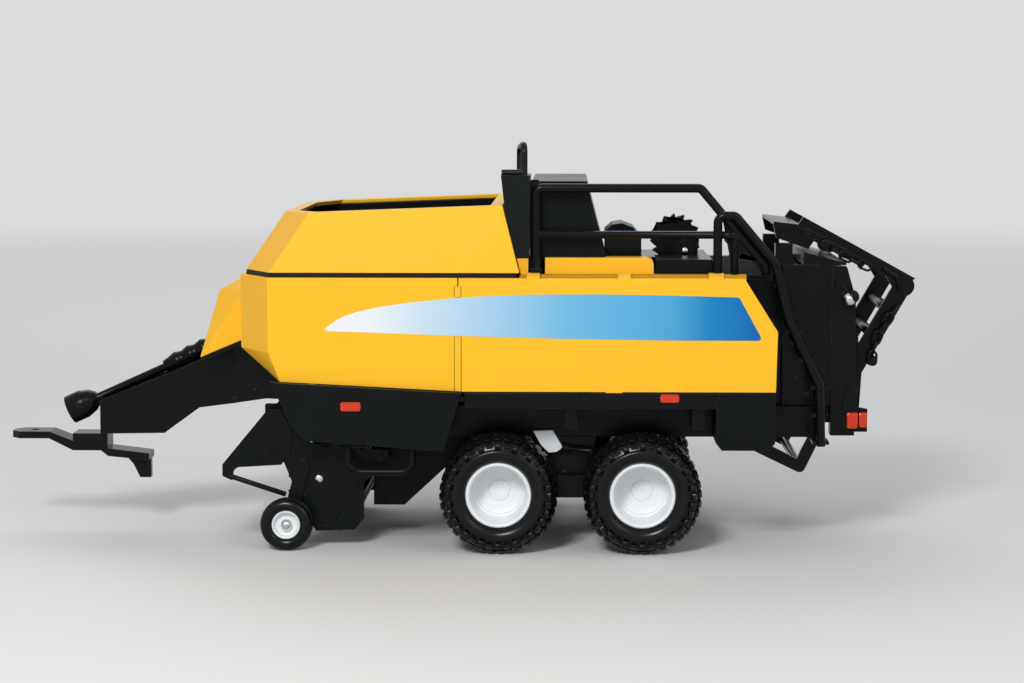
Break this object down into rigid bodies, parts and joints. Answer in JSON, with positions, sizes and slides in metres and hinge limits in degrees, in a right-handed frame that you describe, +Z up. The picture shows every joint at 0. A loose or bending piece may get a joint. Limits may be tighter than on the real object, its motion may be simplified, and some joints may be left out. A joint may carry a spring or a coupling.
{
  "type": "large square baler, scale model",
  "caption": "Towed large square baler with tandem axle, pickup, gull-wing side doors and folding roller chute, as a 1:32 scale model.",
  "frame": {"origin": "on the ground under the middle of the model's length and width", "axes": "+X forward along the drawbar to the hitch, +Y to the machine's left, +Z up"},
  "size_m": [0.2543, 0.0938, 0.1106],
  "materials": {
    "yellow": "gloss paint",
    "black_plastic": "satin",
    "black_metal": "satin black paint",
    "seal": "matt",
    "tyre": "moulded rubber",
    "white": "gloss",
    "orange": "gloss",
    "steel": "bright"
  },
  "bodies": {
    "chassis": {"bogie_beams": "black_metal", "bogie_carrier": "black_metal", "chamber_floor": "black_metal", "chamber_roof": "black_metal", "chamber_sides": "black_metal", "cross_members": "black_metal", "deck": "black_plastic", "deck_cover": "yellow", "drawbar": "black_metal", "driveline": "black_metal", "fan_housing": "black_plastic", "feeder_housing": "black_plastic", "frame_rails": "black_metal", "front_cowl": "yellow", "handrail": "black_metal", "hitch_tongue": "black_metal", "hood_end_column": "black_plastic", "hood_seal_strip": "seal", "hood_tray": "black_plastic", "knotter_frame": "black_metal", "lamp_lenses": "orange", "latch_pins": "steel", "loop_steps": "black_plastic", "lower_shields": "black_plastic", "needle_yoke": "black_metal", "nose_cowl": "yellow", "pickup_pivot": "black_metal", "rear_brackets": "black_metal", "service_cabinet": "black_plastic", "side_sills": "black_plastic", "spring_seats": "white", "tension_crossbeam": "black_metal", "tension_frame": "black_metal", "twine_boxes": "black_plastic", "upper_hood": "yellow"},
    "wheel_front_left": {"tyre_front_left": "tyre", "rim_front_left": "white"},
    "wheel_front_right": {"tyre_front_right": "tyre", "rim_front_right": "white"},
    "wheel_rear_left": {"tyre_rear_left": "tyre", "rim_rear_left": "white"},
    "wheel_rear_right": {"tyre_rear_right": "tyre", "rim_rear_right": "white"},
    "pickup": {"pickup_frame": "black_plastic", "windguard": "black_plastic", "stripper_bands": "black_plastic"},
    "pickup_reel": {"pickup_reel": "black_plastic"},
    "gauge_wheel_left": {"gauge_tyre_left": "tyre", "gauge_rim_left": "white"},
    "gauge_wheel_right": {"gauge_tyre_right": "tyre", "gauge_rim_right": "white"},
    "door_left": {"rear_door_left": "yellow"},
    "door_right": {"rear_door_right": "yellow"},
    "chute_lower": {"chute_lower": "black_metal", "chain_lower": "black_metal"},
    "chute_upper": {"chute_upper": "black_metal", "chain_upper": "black_metal"},
    "star_wheel": {"star_wheel": "black_metal"}
  },
  "joints": [
    {"name": "wheel_front_left_spin", "type": "hinge", "parent": "chassis", "child": "wheel_front_left", "pos_m": [-0.01305, 0.03865, 0.0162], "axis": [0, 1, 0], "continuous": true},
    {"name": "wheel_front_right_spin", "type": "hinge", "parent": "chassis", "child": "wheel_front_right", "pos_m": [-0.01305, -0.03865, 0.0162], "axis": [0, 1, 0], "continuous": true},
    {"name": "wheel_rear_left_spin", "type": "hinge", "parent": "chassis", "child": "wheel_rear_left", "pos_m": [-0.05175, 0.03865, 0.0162], "axis": [0, 1, 0], "continuous": true},
    {"name": "wheel_rear_right_spin", "type": "hinge", "parent": "chassis", "child": "wheel_rear_right", "pos_m": [-0.05175, -0.03865, 0.0162], "axis": [0, 1, 0], "continuous": true},
    {"name": "pickup_lift", "type": "hinge", "parent": "chassis", "child": "pickup", "pos_m": [0.0195, 0, 0.0245], "axis": [0, -1, 0], "range_deg": [0, 8]},
    {"name": "reel_spin", "type": "hinge", "parent": "pickup", "child": "pickup_reel", "pos_m": [0.0364, 0, 0.0176], "axis": [0, 1, 0], "continuous": true},
    {"name": "gauge_wheel_left_spin", "type": "hinge", "parent": "pickup", "child": "gauge_wheel_left", "pos_m": [0.0447, 0.0384, 0.0071], "axis": [0, 1, 0], "continuous": true},
    {"name": "gauge_wheel_right_spin", "type": "hinge", "parent": "pickup", "child": "gauge_wheel_right", "pos_m": [0.0447, -0.0384, 0.0071], "axis": [0, 1, 0], "continuous": true},
    {"name": "door_left_hinge", "type": "hinge", "parent": "chassis", "child": "door_left", "pos_m": [-0.047, 0.0424, 0.0739], "axis": [1, 0, 0], "range_deg": [0, 85]},
    {"name": "door_right_hinge", "type": "hinge", "parent": "chassis", "child": "door_right", "pos_m": [-0.047, -0.0424, 0.0739], "axis": [-1, 0, 0], "range_deg": [0, 85]},
    {"name": "chute_lower_hinge", "type": "hinge", "parent": "chassis", "child": "chute_lower", "pos_m": [-0.1094, 0, 0.0339], "axis": [0, -1, 0], "range_deg": [0, 72]},
    {"name": "chute_fold_hinge", "type": "hinge", "parent": "chute_lower", "child": "chute_upper", "pos_m": [-0.1236, 0, 0.071], "axis": [0, -1, 0], "range_deg": [0, 78]},
    {"name": "star_wheel_spin", "type": "hinge", "parent": "chassis", "child": "star_wheel", "pos_m": [-0.0614, 0.0102, 0.0831], "axis": [0, 1, 0], "continuous": true}
  ]
}
